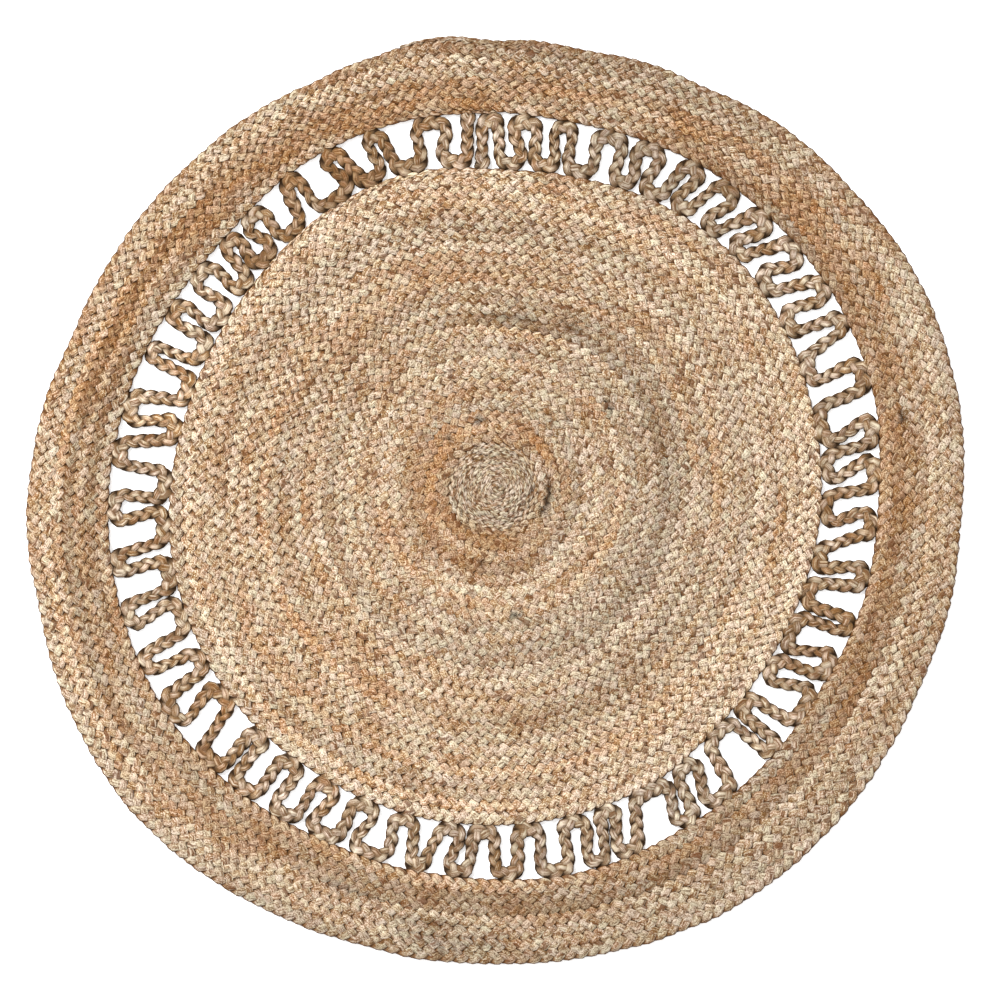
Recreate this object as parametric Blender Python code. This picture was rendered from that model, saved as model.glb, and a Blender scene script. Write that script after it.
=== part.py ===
"""Round jute rug: a spiral-wound centre, one zigzag plait of openwork round it, and a wound border.

The undersides lie at z = 0 and the origin is under the middle of the rug. Units are metres.
The pieces are laid out about the middle of their outlines and then moved together to the origin.
"""

import math

import bmesh
import bpy
from mathutils import Vector

THICKNESS = 0.010  # floor to the crest of a round
GROOVE = 0.0045  # how far the seam between two full rounds lies below their crests
FULL_ROUND = 0.0130  # width of a full round; a narrower one is lower in proportion
SHOULDER = 0.0022  # how far the top of a side edge lies inside its outline
BULGE_HEIGHT = 0.0045  # where a side edge reaches its outline
FOOT_INSET = 0.0026  # how far the flat underside lies inside the outline
SEAM = 0.0004  # clearance between pieces that are sewn together
SAME_POINT = 0.000001  # points of a mat this near each other are one

CORE_ROUNDS = 8  # fine rounds at the heart of the centre disc
CORE_PITCH = 0.0072
BROAD_ROUNDS = 26  # rounds from there to the edge of the disc
DISC_SEGMENTS = 45
SPIRAL_HEART = (-0.0015, 0.0210)  # where the disc's winding starts, from the middle of the outlines

BORDER_ROUNDS = 7
BORDER_SEGMENTS = 60

PLAIT_WIDTH = 0.0158
PLAIT_THICKNESS = 0.0095
TURN_RADIUS = 0.0098  # widest bend of the openwork plait where it turns back
FLAT_TURN = 0.0020  # a turn wider than this past its two bends runs flat along its edge

# The outlines of the rug. Heading in degrees anticlockwise from +X, radii in millimetres:
# edge of the centre disc, inner edge of the border, outer edge of the border.
OUTLINES = (
    (0, 414, 492, 597),
    (15, 420, 504, 607),
    (30, 429, 509, 611),
    (45, 438, 509, 608),
    (60, 437, 508, 602),
    (75, 430, 501, 596),
    (90, 428, 501, 598),
    (105, 438, 507, 597),
    (120, 434, 504, 592),
    (135, 424, 491, 590),
    (150, 418, 492, 586),
    (165, 416, 497, 595),
    (180, 420, 502, 604),
    (195, 423, 505, 606),
    (210, 423, 506, 611),
    (225, 420, 502, 611),
    (240, 415, 491, 602),
    (255, 414, 486, 593),
    (270, 412, 486, 590),
    (285, 411, 488, 593),
    (300, 409, 484, 599),
    (315, 401, 483, 597),
    (330, 402, 482, 593),
    (345, 407, 488, 594),
)
DISC, OPENING, RIM = 1, 2, 3  # columns of OUTLINES

# The loops of the openwork plait, anticlockwise from its two ends. A loop goes out from the disc,
# turns along the border and comes back. Its columns are the heading of its middle by the disc and
# the clear width between its legs there, then the same by the border, in degrees and millimetres.
LOOPS = (
    (100.7, 11, 100.1, 23),
    (108.1, 2, 108.7, 4),
    (114.2, 1, 115.5, 5),
    (123.0, 8, 122.8, 4),
    (130.3, 1, 130.6, 13),
    (136.5, 1, 135.8, 7),
    (142.3, 8, 142.3, 17),
    (149.4, 1, 149.2, 10),
    (156.3, 5, 156.3, 2),
    (164.2, 11, 165.1, 18),
    (171.9, 24, 172.3, 15),
    (180.3, 1, 180.7, 17),
    (188.3, 8, 189.0, 6),
    (195.9, 2, 196.9, 12),
    (204.3, 12, 204.5, 9),
    (211.4, 10, 212.6, 23),
    (220.4, 26, 221.5, 22),
    (227.8, 18, 228.2, 20),
    (235.3, 12, 235.3, 17),
    (242.6, 12, 242.2, 23),
    (250.2, 12, 249.9, 29),
    (257.7, 15, 257.4, 2),
    (264.7, 2, 263.9, 10),
    (271.4, 13, 271.4, 13),
    (279.3, 14, 279.1, 21),
    (286.7, 5, 285.8, 8),
    (292.5, 11, 291.0, 13),
    (302.0, 1, 301.0, 10),
    (308.9, 11, 307.5, 23),
    (318.1, 2, 318.3, 2),
    (324.9, 16, 326.1, 33),
    (332.4, 2, 333.6, 15),
    (340.7, 2, 340.7, 2),
    (347.5, 4, 348.4, 10),
    (354.8, 15, 356.7, 14),
    (362.9, 4, 364.3, 21),
    (369.5, 1, 370.8, 13),
    (378.8, 17, 379.3, 19),
    (387.6, 16, 387.7, 5),
    (395.3, 12, 393.8, 13),
    (402.7, 14, 400.7, 18),
    (409.0, 8, 407.2, 12),
    (415.1, 9, 413.8, 15),
    (420.6, 1, 419.7, 8),
    (426.3, 1, 426.4, 15),
    (432.3, 13, 432.6, 18),
    (439.5, 1, 439.8, 8),
    (445.0, 1, 445.7, 14),
    (451.2, 7, 451.1, 4),
)
FIRST_LEG = (94.9, 94.4)  # headings of the plait's first leg by the disc and by the border

COLOURS = {
    "disc_jute": (0.50, 0.35, 0.22),
    "openwork_jute": (0.37, 0.25, 0.16),
    "border_jute": (0.44, 0.29, 0.18),
}


def clear_scene():
    for obj in list(bpy.data.objects):
        bpy.data.objects.remove(obj, do_unlink=True)


def jute(name):
    material = bpy.data.materials.new(name)
    material.use_nodes = True
    shader = material.node_tree.nodes["Principled BSDF"]
    shader.inputs["Base Color"].default_value = (*COLOURS[name], 1)
    shader.inputs["Roughness"].default_value = 0.9
    shader.inputs["Metallic"].default_value = 0.0
    return material


def at(heading, radius, height=0):
    angle = math.radians(heading)
    return Vector((radius * math.cos(angle), radius * math.sin(angle), height))


def outline_radius(column, heading):
    """Radius of an outline at a heading, on a smooth closed curve through the table's rows."""
    place = heading % 360 / (360 / len(OUTLINES))
    row = int(place)
    t = place - row
    a, b, c, d = (OUTLINES[(row + k) % len(OUTLINES)][column] for k in (-1, 0, 1, 2))
    smooth = b + 0.5 * t * (c - a + t * (2 * a - 5 * b + 4 * c - d + t * (3 * (b - c) + d - a)))
    return smooth / 1000


def outline_ring(column, segments, outward=0, height=0):
    """Points all round an outline, or this far outside it."""
    headings = [i * 360 / segments for i in range(segments)]
    return [at(heading, outline_radius(column, heading) + outward, height) for heading in headings]


def rug_middle():
    """Middle of the rug's bounding box, from the middle of its outlines."""
    rim = outline_ring(RIM, BORDER_SEGMENTS)
    middle = [(max(p[axis] for p in rim) + min(p[axis] for p in rim)) / 2 for axis in (0, 1)]
    return Vector((*middle, 0))


def border_facet_radius(heading):
    """Radius at a heading of the border's inner edge, on the straight facet that stands for it."""
    step = 360 / BORDER_SEGMENTS
    low = math.floor(heading / step) * step
    near, far = outline_radius(OPENING, low), outline_radius(OPENING, low + step)
    before, after = math.radians(heading - low), math.radians(low + step - heading)
    return near * far * math.sin(before + after) / (near * math.sin(before) + far * math.sin(after))


def wound_mat(rounds, inner, outer, share):
    """A flat mat of plait wound in a spiral, its rounds raised as ridges and tapered at both ends.

    inner and outer are the points of its two edges, and share(turns) says how far out, from 0 to 1,
    the winding is after that many turns.
    """
    mat = bmesh.new()
    segments = len(inner)

    def reach(turns):
        return share(min(max(turns, 0), rounds))

    def line_point(line, i):
        turns = line / 2 + i / segments - 1
        point = inner[i].lerp(outer[i], reach(turns))
        if line % 2:
            width = (outer[i] - inner[i]).length * (reach(turns + 0.5) - reach(turns - 0.5))
            point.z += GROOVE * min(width / FULL_ROUND, 1)
        return mat.verts.new(point)

    # Two lines a round, seam and crest. A line that comes full circle carries on as the next but one.
    spans = 2 * (rounds + 1)
    lines = [[line_point(line, i) for i in range(segments)] for line in range(spans + 3)]
    for line in range(spans):
        for i in range(segments):
            ahead = (i + 1) % segments
            onward = line + 2 * (i + 1 == segments)
            corners = (lines[line][i], lines[line + 1][i], lines[onward + 1][ahead], lines[onward][ahead])
            mat.faces.new(corners)
    return mat, lines[0], lines[spans]


def band_of_faces(mat, upper, lower):
    count = len(upper)
    for i in range(count):
        ahead = (i + 1) % count
        mat.faces.new((upper[i], lower[i], lower[ahead], upper[ahead]))


def rounded_side(mat, top, column, outward):
    """The side of a mat along an outline, below its top edge. It gives the ring where the flat
    underside starts. outward is 1 on an outer edge and -1 on an inner one."""
    bulge = [mat.verts.new(p) for p in outline_ring(column, len(top), 0, BULGE_HEIGHT)]
    foot = [mat.verts.new(p) for p in outline_ring(column, len(top), -FOOT_INSET * outward)]
    band_of_faces(mat, top, bulge)
    band_of_faces(mat, bulge, foot)
    return foot


def mat_object(name, mat, collection):
    bmesh.ops.remove_doubles(mat, verts=mat.verts, dist=SAME_POINT)
    bmesh.ops.recalc_face_normals(mat, faces=mat.faces)
    mesh = bpy.data.meshes.new(name)
    mat.to_mesh(mesh)
    mat.free()
    piece = bpy.data.objects.new(name, mesh)
    collection.objects.link(piece)
    return piece


def disc_share(turns):
    """How far out the disc's winding is after this many turns, from 0 at its heart to 1 at its edge."""
    edge = sum(row[DISC] for row in OUTLINES) / len(OUTLINES) / 1000
    core = CORE_ROUNDS * CORE_PITCH / edge
    if turns < CORE_ROUNDS:
        return core * turns / CORE_ROUNDS
    return core + (1 - core) * (turns - CORE_ROUNDS) / BROAD_ROUNDS


def border_share(turns):
    return turns / BORDER_ROUNDS


def centre_disc(collection):
    floor_to_seam = THICKNESS - GROOVE
    heart = [Vector((*SPIRAL_HEART, floor_to_seam))] * DISC_SEGMENTS
    top = outline_ring(DISC, DISC_SEGMENTS, -SHOULDER, floor_to_seam)
    mat, _, rim = wound_mat(CORE_ROUNDS + BROAD_ROUNDS, heart, top, disc_share)
    mat.faces.new(rounded_side(mat, rim, DISC, 1))
    disc = mat_object("centre_disc", mat, collection)
    disc.data.materials.append(jute("disc_jute"))
    return disc


def border_band(collection):
    inner_top = outline_ring(OPENING, BORDER_SEGMENTS, SHOULDER, THICKNESS - GROOVE)
    outer_top = outline_ring(RIM, BORDER_SEGMENTS, -SHOULDER, THICKNESS - GROOVE)
    mat, hole, rim = wound_mat(BORDER_ROUNDS, inner_top, outer_top, border_share)
    outer_foot = rounded_side(mat, rim, RIM, 1)
    inner_foot = rounded_side(mat, hole, OPENING, -1)
    band_of_faces(mat, outer_foot, inner_foot)
    border = mat_object("border_band", mat, collection)
    border.data.materials.append(jute("border_jute"))
    return border


def plait_limit(heading, outwards):
    """Radius of the plait's centreline where it lies along the border, or along the disc."""
    if outwards:
        return border_facet_radius(heading) - SEAM - PLAIT_WIDTH / 2
    return outline_radius(DISC, heading) + SEAM + PLAIT_WIDTH / 2


def turn_back(start, end, outwards):
    """The points of one turn of the plait, from the heading of one leg to that of the next."""
    towards_edge = 1 if outwards else -1
    middle = (start + end) / 2
    half = math.radians(end - start) / 2 * plait_limit(middle, outwards)
    bend = min(half, TURN_RADIUS)
    corner = math.radians(45)
    drops = (bend, bend * (1 - math.sin(corner)), 0)
    shifts = (0, bend * (1 - math.cos(corner)), bend)
    first, second = [], []
    for drop, shift in zip(drops, shifts):
        for leg, onward, points in ((start, 1, first), (end, -1, second)):
            heading = leg + onward * math.degrees(shift / plait_limit(leg, outwards))
            points.append(at(heading, plait_limit(heading, outwards) - towards_edge * drop))
    if half - bend < FLAT_TURN:
        first[-1] = at(middle, plait_limit(middle, outwards))
        second.pop()
    return first + second[::-1]


def plait_legs():
    """Headings of each leg of the plait by the disc and by the border, two legs to a loop."""
    legs = [FIRST_LEG]
    for foot, foot_gap, head, head_gap in LOOPS:
        low = plait_limit(foot, False) + TURN_RADIUS
        high = plait_limit(head, True) - TURN_RADIUS
        foot_half = math.degrees((foot_gap / 1000 + PLAIT_WIDTH) / 2 / low)
        head_half = math.degrees((head_gap / 1000 + PLAIT_WIDTH) / 2 / high)
        legs.append((foot - foot_half, head - head_half))
        legs.append((foot + foot_half, head + head_half))
    return legs


def plait_route():
    """The centreline of the openwork plait, from its end at the border to its end at the disc."""
    legs = plait_legs()
    start, end = legs[0][1], legs[-1][0]
    route = [at(start, plait_limit(start, True) + PLAIT_WIDTH / 2)]
    for number in range(len(legs) - 1):
        outwards = number % 2
        route += turn_back(legs[number][outwards], legs[number + 1][outwards], outwards)
    route.append(at(end, plait_limit(end, False) - PLAIT_WIDTH / 2))
    return route


def poly_curve(name, points, cyclic, collection):
    data = bpy.data.curves.new(name, "CURVE")
    data.dimensions = "3D"
    spline = data.splines.new("POLY")
    spline.points.add(len(points) - 1)
    for point, place in zip(spline.points, points):
        point.co = (*place, 1)
    spline.use_cyclic_u = cyclic
    curve = bpy.data.objects.new(name, data)
    collection.objects.link(curve)
    return curve


def openwork_braid(collection, guides):
    half, low = PLAIT_WIDTH / 2, BULGE_HEIGHT
    foot = half - FOOT_INSET
    section = ((-foot, 0), (-half, low), (0, PLAIT_THICKNESS), (half, low), (foot, 0))
    profile = poly_curve("plait_section", [Vector((x, z, 0)) for x, z in section], True, guides)
    profile.hide_render = True
    profile.display_type = "WIRE"
    braid = poly_curve("openwork_braid", plait_route(), False, collection)
    braid.data.twist_mode = "Z_UP"
    braid.data.bevel_mode = "OBJECT"
    braid.data.bevel_object = profile
    braid.data.use_fill_caps = True
    braid.data.materials.append(jute("openwork_jute"))
    return braid


def main():
    clear_scene()
    rug = bpy.data.collections.new("round_jute_rug")
    guides = bpy.data.collections.new("guides")
    bpy.context.scene.collection.children.link(rug)
    bpy.context.scene.collection.children.link(guides)
    for piece in (centre_disc(rug), openwork_braid(rug, guides), border_band(rug)):
        piece.location = -rug_middle()


main()
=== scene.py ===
import math

import bpy
import numpy as np
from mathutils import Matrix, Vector, noise


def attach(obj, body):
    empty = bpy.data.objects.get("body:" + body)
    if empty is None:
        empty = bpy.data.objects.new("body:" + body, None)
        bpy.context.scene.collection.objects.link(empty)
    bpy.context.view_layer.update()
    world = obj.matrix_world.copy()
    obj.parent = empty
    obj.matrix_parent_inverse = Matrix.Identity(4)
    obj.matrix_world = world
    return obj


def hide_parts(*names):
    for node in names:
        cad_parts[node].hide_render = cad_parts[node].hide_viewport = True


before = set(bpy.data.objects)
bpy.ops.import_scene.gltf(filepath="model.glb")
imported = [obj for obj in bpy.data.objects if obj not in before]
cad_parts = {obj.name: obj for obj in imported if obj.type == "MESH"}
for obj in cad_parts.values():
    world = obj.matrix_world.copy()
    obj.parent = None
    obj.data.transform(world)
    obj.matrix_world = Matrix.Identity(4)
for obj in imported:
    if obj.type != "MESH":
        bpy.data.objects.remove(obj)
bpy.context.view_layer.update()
print("frame loaded:", ", ".join(sorted(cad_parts)))

mm = 0.001
fullTurn = 360

# Outlines of the rug: heading in degrees anticlockwise from +X, then radii in millimetres
# of the disc's edge, the border's inner edge and the border's outer edge.
outlines = (
    (0, 414, 492, 597), (15, 420, 504, 607), (30, 429, 509, 611), (45, 438, 509, 608),
    (60, 437, 508, 602), (75, 430, 501, 596), (90, 428, 501, 598), (105, 438, 507, 597),
    (120, 434, 504, 592), (135, 424, 491, 590), (150, 418, 492, 586), (165, 416, 497, 595),
    (180, 420, 502, 604), (195, 423, 505, 606), (210, 423, 506, 611), (225, 420, 502, 611),
    (240, 415, 491, 602), (255, 414, 486, 593), (270, 412, 486, 590), (285, 411, 488, 593),
    (300, 409, 484, 599), (315, 401, 483, 597), (330, 402, 482, 593), (345, 407, 488, 594),
)
discEdge, opening, rim = 1, 2, 3  # columns of outlines

# Loops of the openwork plait, anticlockwise from its two ends: the heading of a loop's middle by the
# disc and the clear width between its legs there, then the same by the border (degrees, millimetres).
loops = (
    (100.7, 11, 100.1, 23), (108.1, 2, 108.7, 4), (114.2, 1, 115.5, 5), (123.0, 8, 122.8, 4),
    (130.3, 1, 130.6, 13), (136.5, 1, 135.8, 7), (142.3, 8, 142.3, 17), (149.4, 1, 149.2, 10),
    (156.3, 5, 156.3, 2), (164.2, 11, 165.1, 18), (171.9, 24, 172.3, 15), (180.3, 1, 180.7, 17),
    (188.3, 8, 189.0, 6), (195.9, 2, 196.9, 12), (204.3, 12, 204.5, 9), (211.4, 10, 212.6, 23),
    (220.4, 26, 221.5, 22), (227.8, 18, 228.2, 20), (235.3, 12, 235.3, 17), (242.6, 12, 242.2, 23),
    (250.2, 12, 249.9, 29), (257.7, 15, 257.4, 2), (264.7, 2, 263.9, 10), (271.4, 13, 271.4, 13),
    (279.3, 14, 279.1, 21), (286.7, 5, 285.8, 8), (292.5, 11, 291.0, 13), (302.0, 1, 301.0, 10),
    (308.9, 11, 307.5, 23), (318.1, 2, 318.3, 2), (324.9, 16, 326.1, 33), (332.4, 2, 333.6, 15),
    (340.7, 2, 340.7, 2), (347.5, 4, 348.4, 10), (354.8, 15, 356.7, 14), (362.9, 4, 364.3, 21),
    (369.5, 1, 370.8, 13), (378.8, 17, 379.3, 19), (387.6, 16, 387.7, 5), (395.3, 12, 393.8, 13),
    (402.7, 14, 400.7, 18), (409.0, 8, 407.2, 12), (415.1, 9, 413.8, 15), (420.6, 1, 419.7, 8),
    (426.3, 1, 426.4, 15), (432.3, 13, 432.6, 18), (439.5, 1, 439.8, 8), (445.0, 1, 445.7, 14),
    (451.2, 7, 451.1, 4),
)


def linearColour(sRgbHex, alpha=1.0):
    channels = [int(sRgbHex[i:i + 2], 16) / 255 for i in (1, 3, 5)]
    linear = [c / 12.92 if c <= 0.04045 else ((c + 0.055) / 1.055) ** 2.4 for c in channels]
    return (*linear, alpha)


def addNode(tree, kind, settings=None, inputs=None):
    # an input may be a value, a socket, or a node whose first output is meant
    node = tree.nodes.new(kind)
    for name, value in (settings or {}).items():
        setattr(node, name, value)
    for key, value in (inputs or {}).items():
        if isinstance(value, bpy.types.Node):
            value = value.outputs[0]
        if isinstance(value, bpy.types.NodeSocket):
            tree.links.new(value, node.inputs[key])
        else:
            node.inputs[key].default_value = value
    return node


def calc(tree, operation, *values, clamp=False):
    settings = {"operation": operation, "use_clamp": clamp}
    return addNode(tree, "ShaderNodeMath", settings, dict(enumerate(values)))


def calcVector(tree, operation, *values):
    return addNode(tree, "ShaderNodeVectorMath", {"operation": operation}, dict(enumerate(values)))


def noisy(tree, spot, scale=1.0, detail=1.0, roughness=0.5):
    # chance, mostly within a quarter to each side of a half
    inputs = {"Vector": spot, "Scale": scale, "Detail": detail, "Roughness": roughness}
    return addNode(tree, "ShaderNodeTexNoise", None, inputs)


def ranged(tree, value, start, end, most=1.0):
    # from none where the value is at the start to the most where it is at the end
    inputs = {"Value": value, "From Min": start, "From Max": end, "To Max": most}
    return addNode(tree, "ShaderNodeMapRange", None, inputs)


def mixed(tree, share, colour, other, blend="MIX"):
    settings = {"data_type": "RGBA", "blend_type": blend}
    return addNode(tree, "ShaderNodeMix", settings, {0: share, 6: colour, 7: other}).outputs[2]


def at(heading, radius):
    angle = math.radians(heading)
    return Vector((radius * math.cos(angle), radius * math.sin(angle), 0))


def smoothBetween(a, b, c, d, share):
    # on the smooth curve through four values or points, this share of the way from the second to the third
    bend = 2 * a - 5 * b + 4 * c - d + share * (3 * (b - c) + d - a)
    return b + 0.5 * share * (c - a + share * bend)


def outlineRadius(column, heading):
    place = heading % fullTurn / (fullTurn / len(outlines))
    row = int(place)
    near = (outlines[(row + k) % len(outlines)][column] for k in (-1, 0, 1, 2))
    return smoothBetween(*near, place - row) * mm


def rugMiddle(segments=60):
    headings = [i * fullTurn / segments for i in range(segments)]
    ring = [at(heading, outlineRadius(rim, heading)) for heading in headings]
    middle = [(max(p[axis] for p in ring) + min(p[axis] for p in ring)) / 2 for axis in (0, 1)]
    return Vector((*middle, 0))


middle = rugMiddle()  # of the outlines' box, which comes to lie over the origin


# The rim's own dents and bulges beyond its outline: heading and half width in degrees, size in mm.
rimBends = (
    (41, 4, -2.5), (64, 5, -4.5), (79, 6, -4.0), (90, 4, -5.0), (98, 5, 5.5), (113, 7, -5.0),
    (132, 8, -3.0), (160, 5, -5.0), (173, 6, -2.5), (192, 6, -4.0), (220, 4, 2.5), (240, 12, -1.8),
    (260, 4, 1.8), (290, 4, 2.0), (338, 6, -3.0), (355, 5, -1.8),
)

winding = {
    "thickness": 10.0,       # mm, floor to the crest of a round
    "seamHeight": 5.5,       # mm, where two rounds meet
    "fullRound": 13.0,       # mm, a narrower round is lower in proportion
    "samples": 14,           # points in the length that one strand needs to come back to its side
    "fewest": 9,             # points to a turn, at the least
    "thinnest": 0.22,        # a tapered end stops at this share of a round's width
    "stray": 0.04,           # how far a round strays to the side, of its width
    "strayLength": 70.0,     # mm
    "waves": ((9.0, 0.5), (22.0, 0.7)),  # how many there are to a turn, and their size in mm
    "uneven": 0.16,          # how unevenly the plait was pulled tight
    "unevenLength": 120.0,   # mm
    "haste": 0.42,           # how much steeper a strand crosses over the middle than it comes back below
    # radius, and how long one strand's way over and back is there, both in mm
    "periods": ((0, 38), (58, 42), (72, 36), (180, 36), (260, 42), (340, 44.5), (600, 45.3)),
}

# The yarn's colour. Shade is how light it is, and rust runs from -1, greyish, past 1, rusty.
# On the disc: distance from its heart in mm, shade, rust.
discYarn = (
    (0, 0.76, -0.1), (19, 0.84, -0.2), (32, 0.97, -0.3), (50, 1.00, -0.3), (60, 0.86, 0.4),
    (71, 0.72, 1.1), (84, 0.84, 0.8), (95, 1.00, 0.2), (112, 1.00, 0.15), (122, 0.95, 0.25),
    (150, 1.00, 0.1), (186, 0.99, 0.0), (199, 0.94, 0.1), (212, 0.84, 0.0), (225, 0.92, 0.0),
    (240, 1.06, -0.05), (263, 0.98, 0.05), (280, 1.03, 0.1), (300, 1.02, 0.15), (325, 1.01, 0.15),
    (345, 1.06, 0.0), (420, 1.10, -0.05),
)
# On the border: rounds from its inside, shade, rust.
borderYarn = (
    (0.5, 0.80, 0.45), (1.5, 0.82, 0.65), (2.5, 0.83, 0.6), (3.3, 0.89, 0.3), (4.5, 0.97, 0.1),
    (5.5, 0.99, 0.0), (6.1, 0.93, 0.0), (6.5, 0.77, -0.15), (7.5, 0.70, -0.2),
)
# On the openwork: heading, shade, rust.
openworkYarn = (
    (30, 0.86, -0.1), (37, 0.93, -0.6), (52, 0.76, -0.5), (67, 0.82, -0.6), (82, 0.96, -0.5),
    (97, 0.86, -0.1), (103, 0.72, 0.6), (118, 0.70, 0.7), (130, 0.87, 0.5), (142, 1.04, -0.2),
    (160, 1.02, -0.1), (172, 0.90, 0.0), (205, 0.98, 0.0), (228, 1.05, -0.5), (247, 0.92, -0.8),
    (262, 0.86, -0.7), (300, 0.90, -0.9), (312, 0.90, -0.9), (325, 0.78, -0.4), (338, 0.74, 0.2),
    (360, 0.77, 0.1), (382, 0.80, 0.0), (390, 0.86, -0.1),
)
# How it differs from side to side, lighter towards the upper left: heading, what shade is multiplied by,
# what is added to rust.
discSides = (
    (0, 0.96, -0.15), (45, 0.95, 0.0), (135, 1.02, 0.1), (225, 0.97, 0.15), (300, 0.95, -0.2),
    (360, 0.96, -0.15),
)
borderSides = (
    (0, 0.95, 0.0), (40, 0.91, 0.25), (75, 0.93, 0.15), (110, 1.05, 0.15), (150, 1.12, 0.1),
    (190, 1.04, 0.1), (225, 1.03, 0.0), (270, 0.99, -0.1), (310, 0.92, -0.15), (345, 0.92, 0.0),
    (360, 0.95, 0.0),
)
everySide = ((0, 1.0, 0.0),)

yarn = {
    "bandLength": 420.0,     # mm, how long the plait keeps a colour
    "bandRust": 0.40,        # how much rust and shade change from one such band to the next
    "bandShade": 0.18,
    "patchLength": 60.0,     # mm, smaller patches within a band
    "patchRust": 0.60,
    "patchShade": 0.07,
    "seed": 3.7,
    "chance": 1.6,           # brings noise to between about -1 and 1
    "borderStart": 100,      # m along the yarn, so that the pieces don't repeat each other's bands
    "openworkStart": 200,
}

# Odd strands of another colour: X and Y in mm from the disc's heart, half their length along the round
# and half their width in mm, shade, rust.
marks = (
    (15, 219, 42, 5, 0.62, 0.3), (98, 205, 24, 5, 0.58, 0.1), (23, 180, 9, 4, 0.60, 1.0),
    (23, 167, 7, 3, 0.42, 0.0), (-22, 86, 8, 5, 0.30, -0.2), (-58, 60, 8, 5, 0.50, 0.6),
    (-94, 66, 7, 5, 0.60, 1.0), (-10, 77, 10, 5, 0.75, 1.4), (42, 73, 10, 5, 0.65, 1.3),
    (67, 95, 9, 5, 0.70, 1.2), (91, 86, 8, 3, 0.40, 0.3), (144, 103, 10, 5, 0.15, -0.3),
    (188, 76, 8, 5, 0.45, 0.5), (67, 9, 8, 5, 0.50, 0.6), (66, -17, 27, 5.5, 0.10, 0.6),
    (45, -4, 6, 3, 0.40, 0.0), (-19, -98, 10, 6, 0.42, 0.9), (0, -87, 8, 3, 0.45, 0.4),
    (23, -164, 12, 5, 0.15, -0.2), (-191, -14, 8, 5, 0.50, 0.4), (-181, -36, 7, 4, 0.50, 0.1),
    (-35, -184, 10, 4, 0.50, 0.2), (522, 90, 9, 7, 0.30, 0.3), (-514, 112, 14, 6, 0.60, 1.1),
    (-526, 89, 10, 6, 0.60, 1.0), (-519, 3, 14, 6, 0.65, 1.1), (-73, -597, 9, 5, 0.50, 1.0),
    (53, -601, 8, 5, 0.50, 1.0), (-90, -560, 60, 9, 0.68, 0.1), (-190, -520, 50, 8, 0.72, 0.2),
    (-60, -585, 90, 9, 0.62, -0.2), (330, 330, 60, 8, 0.72, 0.8), (390, 260, 50, 8, 0.74, 0.7),
    (290, 390, 40, 7, 0.70, 0.7),
)
markFirmness = 2.5  # more gives the marks a sharper edge

disc = {
    "heart": (-1.5, 21.0),   # mm from the middle of the outlines
    "coreRounds": 8,
    "corePitch": 7.2,        # mm
    "broadRounds": 26,
    "startHeading": 60,
    "jog": 0.3,              # share of a turn in which a broad round moves out by its width
    "settled": 6,            # broad rounds until they do so, from the even spiral of the core
    "cutShares": (0.0, 0.40, 0.72, 1.0),  # where the disc's plait is split into pieces
}

border = {
    "rounds": 7,
    "startHeading": 78,
    "jog": 0.10,             # share of a turn in which a round moves out by its width
    "roundWidth": 15.1,      # mm
    "cutShares": (0.0, 0.5, 1.0),
}

openwork = {
    "width": 15.8,           # mm
    "thickness": 9.5,        # mm
    "turnRadius": 14.0,      # mm, widest bend where the plait turns back
    "seam": 0.4,             # mm, clearance to the disc and to the border
    "flatTurn": 2.0,         # mm, a turn wider than this past its two bends runs along its edge
    "firstLeg": (94.9, 94.4),  # headings of the first leg by the disc and by the border
    "period": 46.0,          # mm, one strand's way over and back
    "haste": 0.15,
    "loose": 0.14,           # how unevenly wide it lies
    "looseLength": 30.0,     # mm
    "spread": 0.28,          # how much wider it spreads where it turns back
    "lightness": 1.17,       # what its shade is multiplied by
    "patches": 0.16,         # how much its yarn's shade changes in a hand's width
    "patchLength": 35.0,     # mm
    "rustPatches": 0.48,     # and its rust
    "rustLength": 45.0,      # mm
}


def ripple(length, along, lane=0.0):
    # smooth chance between about -1 and 1 that changes over this length in mm; each use has its own lane
    return noise.noise(Vector((along / (length * mm), yarn["seed"] + lane, 0.5))) * yarn["chance"]


def waves(heading, share):
    # soft waves that neighbouring rounds have in common, none at a share of 0
    angle = math.radians(heading)
    total = 0.0
    for count, size in winding["waves"]:
        spot = Vector((math.cos(angle), math.sin(angle), 0)) * count / 2
        total += noise.noise(spot + Vector((0, 0, share * 2 + count))) * size * mm
    return total * 2


def lookUp(table, key):
    keys = [row[0] for row in table]
    return [float(np.interp(key, keys, [row[column] for row in table])) for column in (1, 2)]


def yarnColour(table, key, along, sides=everySide, heading=0.0):
    shade, rust = lookUp(table, key)
    light, redder = lookUp(sides, heading % fullTurn)
    band, patch = ripple(yarn["bandLength"], along), ripple(yarn["patchLength"], along, 5.0)
    shade += yarn["bandShade"] * ripple(yarn["bandLength"], along, 9.0) + yarn["patchShade"] * patch
    rust += yarn["bandRust"] * band - yarn["patchRust"] * patch
    return shade * light, rust + redder


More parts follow.
